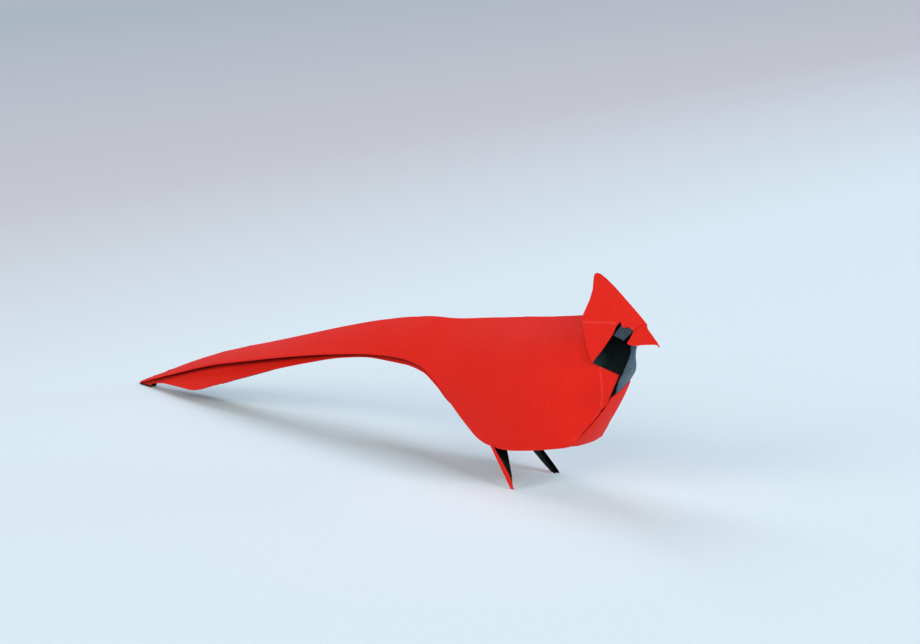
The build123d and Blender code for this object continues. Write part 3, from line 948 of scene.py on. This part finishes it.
# Soft lights: name, place, aim, width and depth in metres, watts and colour
LIGHTS = (
    ("right_window", (6.84, 0.0, 4.68), (0.0, 0.0, 0.02), 4.86, 3.96, 525.0, (0.68, 0.89, 1.0)),
    ("camera_glow", (3.96, -5.58, 4.14), (0.0, 0.0, 0.02), 4.5, 3.96, 168.0, (1.0, 0.98, 0.94)),
    ("front_glow", (-2.07, -6.66, 3.15), (0.0, 0.0, 0.02), 4.5, 3.96, 214.0, (1.0, 0.97, 0.95)),
    ("left_window", (-6.84, 1.62, 6.12), (0.0, 0.0, 0.02), 5.76, 4.5, 363.0, (0.66, 0.85, 1.0)),
    ("side_window", (0.95, 1.05, 0.18), (0.0, 0.0, 0.05), 0.55, 0.32, 8.0, (0.40, 0.72, 1.0)),
)

# Camera at the photo's angle: place and aim in metres, lens and film width in millimetres
CAMERA_PLACE = (0.44219, -0.46904, 0.18184)
CAMERA_AIM = (-0.07346, 0.11559, 0.0)
CAMERA_LENS = 102.08
CAMERA_FILM = 36.0
CAMERA_NEAREST = 0.01

# Colour sockets of the Mix node
MIX_FIRST, MIX_SECOND, MIX_RESULT = 6, 7, 2


def nodes_of(name):
    material = bpy.data.materials.new(name)
    material.use_nodes = True
    tree = material.node_tree
    tree.nodes.clear()
    output = tree.nodes.new("ShaderNodeOutputMaterial")
    shader = tree.nodes.new("ShaderNodeBsdfPrincipled")
    tree.links.new(shader.outputs["BSDF"], output.inputs["Surface"])
    return material, tree, shader


def grain(tree, scale, detail, roughness, stretch=None):
    # A noise pattern in the object's own space, drawn out along slanting fibres where it is stretched
    place = tree.nodes.new("ShaderNodeTexCoord")
    pattern = tree.nodes.new("ShaderNodeTexNoise")
    pattern.inputs["Scale"].default_value = scale
    pattern.inputs["Detail"].default_value = detail
    pattern.inputs["Roughness"].default_value = roughness
    if stretch:
        turn = tree.nodes.new("ShaderNodeMapping")
        turn.inputs["Scale"].default_value = stretch
        turn.inputs["Rotation"].default_value = FIBRE_TURN
        tree.links.new(place.outputs["Object"], turn.inputs["Vector"])
        tree.links.new(turn.outputs["Vector"], pattern.inputs["Vector"])
    else:
        tree.links.new(place.outputs["Object"], pattern.inputs["Vector"])
    return pattern.outputs["Fac"]


def ramp(tree, source, places, tints):
    node = tree.nodes.new("ShaderNodeValToRGB")
    elements = node.color_ramp.elements
    while len(elements) < len(places):
        elements.new(0.5)
    for element, place, tint in zip(elements, places, tints):
        element.position = place
        element.color = (*tint, 1.0)
    tree.links.new(source, node.inputs["Fac"])
    return node.outputs["Color"]


def spread(tree, source, low, high, out_low, out_high):
    node = tree.nodes.new("ShaderNodeMapRange")
    node.inputs["From Min"].default_value = low
    node.inputs["From Max"].default_value = high
    node.inputs["To Min"].default_value = out_low
    node.inputs["To Max"].default_value = out_high
    tree.links.new(source, node.inputs["Value"])
    return node.outputs["Result"]


def blended(tree, mode, factor, first, second):
    node = tree.nodes.new("ShaderNodeMix")
    node.data_type = "RGBA"
    node.blend_type = mode
    if isinstance(factor, float):
        node.inputs["Factor"].default_value = factor
    else:
        tree.links.new(factor, node.inputs["Factor"])
    tree.links.new(first, node.inputs[MIX_FIRST])
    tree.links.new(second, node.inputs[MIX_SECOND])
    return node.outputs[MIX_RESULT]


def raised(tree, height, strength, distance, below=None):
    node = tree.nodes.new("ShaderNodeBump")
    node.inputs["Strength"].default_value = strength
    node.inputs["Distance"].default_value = distance
    tree.links.new(height, node.inputs["Height"])
    if below is not None:
        tree.links.new(below, node.inputs["Normal"])
    return node.outputs["Normal"]


def attribute_value(tree, name):
    node = tree.nodes.new("ShaderNodeAttribute")
    node.attribute_name = name
    return node.outputs["Fac"]


def paper_material(name, main, dark, light, roughness, specular, worn_and_lit=None, inside=None):
    # Uncoated coloured paper: cloudy pulp, short fibres, a fine tooth, rubbed folds with painted highlights,
    # painted shade deep in pleats
    found = bpy.data.materials.get(name)
    if found:
        return found
    material, tree, shader = nodes_of(name)
    clouds = grain(tree, *CLOUDS)
    pulp = grain(tree, *PULP)
    fibres = grain(tree, *FIBRES, FIBRE_STRETCH)
    tooth = grain(tree, *TOOTH)
    tints = (dark, main, light)
    base = blended(tree, "MIX", CLOUD_SHARE, ramp(tree, pulp, PULP_STOPS, tints),
                   ramp(tree, clouds, CLOUD_STOPS, tints))
    base = blended(tree, "MIX", spread(tree, fibres, *FIBRE_RANGE, 0.0, FIBRE_SHARE), base,
                   ramp(tree, fibres, WHOLE_RANGE, (main, light)))
    # Creases are lightened as rubbed folds with a painted highlight, hems with a painted highlight
    if worn_and_lit:
        for attribute, reach, strength in WEAR_AND_HIGHLIGHT:
            rubbed = spread(tree, attribute_value(tree, attribute), 0.0, reach, strength, 0.0)
            base = blended(tree, "MIX", rubbed, base, ramp(tree, pulp, WORN_AND_HIGHLIGHT_STOPS, (light, worn_and_lit)))
    # The inside colour is painted shade, mixed in by each point's share of it
    if inside:
        base = blended(tree, "MIX", attribute_value(tree, "painted_shade_share"), base,
                       ramp(tree, pulp, PAINTED_SHADE_STOPS, (inside, dark)))
    tree.links.new(base, shader.inputs["Base Color"])
    rough = spread(tree, pulp, *ROUGHNESS_PULP, roughness - ROUGHNESS_BELOW, roughness + ROUGHNESS_ABOVE)
    tree.links.new(rough, shader.inputs["Roughness"])
    shader.inputs["Specular IOR Level"].default_value = specular
    relief = raised(tree, fibres, *FIBRE_RELIEF)
    tree.links.new(raised(tree, tooth, *TOOTH_RELIEF, relief), shader.inputs["Normal"])
    return material


def red_paper():
    own = colours()
    return paper_material("red_paper_side", own.red, own.red_deep, own.red_light, 0.64, 0.17, own.red_worn_and_highlight,
                          own.red_painted_shade)


def black_paper():
    own = colours()
    return paper_material("black_paper_side", own.black, own.black, own.black_fibre, 0.30, 0.09)


def reflection_painted_black_paper():
    # Black side lightened by a painted reflection, for the throat
    own = colours()
    return paper_material("black_side_painted_reflection", own.black_painted_reflection, own.black_fibre, own.black_painted_glint, 0.38, 0.35)


def sheen_painted_black_paper():
    # Black side lightened by a painted sheen, for the eye flaps
    own = colours()
    return paper_material("black_side_painted_sheen", own.black_painted_sheen, own.black_fibre, own.black_painted_reflection, 0.30, 0.09)


def mask_painted_light_paper():
    # The mask's black side with its painted reflection and painted shade
    own = colours()
    return paper_material("mask_black_painted_light", own.mask_painted_reflection, own.mask_painted_shade, own.mask_painted_reflection, 0.45, 0.03,
                          inside=own.mask_painted_shade)


def cut_paper():
    own = colours()
    return paper_material("cut_paper_edge", own.red_deep, own.red_deep, own.red, 0.75, 0.2)


def floor_paper():
    # The bird's plain ground: pale near it, with painted shade greying it behind the tail and a metre and
    # more away all round
    material, tree, shader = nodes_of("floor_paper")
    own = colours()
    place = tree.nodes.new("ShaderNodeTexCoord")
    behind = tree.nodes.new("ShaderNodeVectorMath")
    behind.operation = "DOT_PRODUCT"
    behind.inputs[1].default_value = FLOOR_BEHIND
    away = tree.nodes.new("ShaderNodeVectorMath")
    away.operation = "LENGTH"
    for node in (behind, away):
        tree.links.new(place.outputs["Object"], node.inputs[0])
    behind_share = spread(tree, behind.outputs["Value"], *FLOOR_BEHIND_RANGE, 0.0, 1.0)
    away_share = spread(tree, away.outputs["Value"], *FLOOR_AWAY_RANGE, 0.0, 1.0)
    shade = ramp(tree, behind_share, FLOOR_STOPS, (own.floor, own.floor_painted_shade, own.floor_far_painted_shade))
    shade = blended(tree, "MIX", away_share, shade,
                    ramp(tree, away_share, WHOLE_RANGE, (own.floor_painted_shade, own.floor_far_painted_shade)))
    tooth = grain(tree, *FLOOR_TOOTH)
    speck = ramp(tree, tooth, FLOOR_SPECK_STOPS, (FLOOR_SPECK, FLOOR_PLAIN))
    tree.links.new(blended(tree, "MULTIPLY", 1.0, shade, speck), shader.inputs["Base Color"])
    shader.inputs["Roughness"].default_value = FLOOR_ROUGHNESS
    shader.inputs["Specular IOR Level"].default_value = FLOOR_SPECULAR
    tree.links.new(raised(tree, tooth, *FLOOR_RELIEF), shader.inputs["Normal"])
    return material


def pale_backdrop():
    # A world that is pale where it is seen, straight or in a reflection, and weak as a light
    world = bpy.data.worlds.new("pale_backdrop")
    world.use_nodes = True
    tree = world.node_tree
    backdrop = tree.nodes["Background"]
    backdrop.inputs["Color"].default_value = BACKDROP
    path = tree.nodes.new("ShaderNodeLightPath")
    seen = path.outputs["Is Camera Ray"]
    for ray in ("Is Glossy Ray", "Is Transmission Ray"):
        either = tree.nodes.new("ShaderNodeMath")
        either.operation = "MAXIMUM"
        tree.links.new(seen, either.inputs[0])
        tree.links.new(path.outputs[ray], either.inputs[1])
        seen = either.outputs["Value"]
    strength = spread(tree, seen, 0.0, 1.0, BACKDROP_LIGHT, BACKDROP_SEEN)
    tree.links.new(strength, backdrop.inputs["Strength"])
    return world


def aimed(name, data, place, aim):
    # An object for a light or a camera that looks from one place towards another
    holder = bpy.data.objects.new(name, data)
    bpy.context.scene.collection.objects.link(holder)
    holder.location = place
    way = Vector(aim) - Vector(place)
    holder.rotation_euler = way.to_track_quat("-Z", "Y").to_euler()
    return holder


def area_light(name, place, aim, width, depth, power, colour):
    lamp = bpy.data.lights.new(name, "AREA")
    lamp.shape = "RECTANGLE"
    lamp.size = width
    lamp.size_y = depth
    lamp.energy = power
    lamp.color = colour
    aimed(name, lamp, place, aim)


class PAPERBIRD_OT_set_stage(bpy.types.Operator):
    """Lays the plain pale floor and sets up soft light and the camera"""
    bl_idname = "paperbird.set_stage"
    bl_label = "Set Stage"

    def execute(self, context):
        scene = context.scene
        mesh = bmesh.new()
        bmesh.ops.create_grid(
            mesh, x_segments=FLOOR_SEGMENTS, y_segments=FLOOR_SEGMENTS, size=FLOOR_HALF_WIDTH)
        data = bpy.data.meshes.new("floor")
        mesh.to_mesh(data)
        mesh.free()
        floor = bpy.data.objects.new("floor", data)
        scene.collection.objects.link(floor)
        data.materials.append(floor_paper())
        scene.world = pale_backdrop()
        for light in LIGHTS:
            area_light(*light)
        camera = bpy.data.cameras.new("photo_view")
        camera.sensor_width = CAMERA_FILM
        camera.lens = CAMERA_LENS
        camera.clip_start = CAMERA_NEAREST
        scene.camera = aimed("photo_view", camera, CAMERA_PLACE, CAMERA_AIM)
        scene.view_settings.view_transform = "Standard"
        return {"FINISHED"}


class PAPERBIRD_PT_panel(bpy.types.Panel):
    bl_label = "Folded Paper Bird"
    bl_idname = "PAPERBIRD_PT_panel"
    bl_space_type = "VIEW_3D"
    bl_region_type = "UI"
    bl_category = "Paper Bird"

    def draw(self, context):
        layout = self.layout
        for group in (context.scene.paper_bird_sizes, context.scene.paper_bird_colours):
            box = layout.box()
            for name in group.bl_rna.properties.keys():
                if name not in {"rna_type", "name"}:
                    box.prop(group, name)
        for operator in OPERATORS:
            layout.operator(operator.bl_idname)


OPERATORS = (
    PAPERBIRD_OT_fold_back,
    PAPERBIRD_OT_fold_breast,
    PAPERBIRD_OT_fold_head,
    PAPERBIRD_OT_fold_legs,
    PAPERBIRD_OT_join_sheet,
    PAPERBIRD_OT_set_stage,
)
CLASSES = (PaperBirdSizes, PaperBirdColours, *OPERATORS, PAPERBIRD_PT_panel)


def register():
    for each in CLASSES:
        bpy.utils.register_class(each)
    bpy.types.Scene.paper_bird_sizes = PointerProperty(type=PaperBirdSizes)
    bpy.types.Scene.paper_bird_colours = PointerProperty(type=PaperBirdColours)


def unregister():
    del bpy.types.Scene.paper_bird_colours
    del bpy.types.Scene.paper_bird_sizes
    for each in reversed(CLASSES):
        bpy.utils.unregister_class(each)


def main():
    register()
    bpy.ops.paperbird.fold_back()
    bpy.ops.paperbird.fold_breast()
    bpy.ops.paperbird.fold_head()
    bpy.ops.paperbird.fold_legs()
    bpy.ops.paperbird.join_sheet()
    bpy.ops.paperbird.set_stage()
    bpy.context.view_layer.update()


if __name__ == "__main__":
    main()
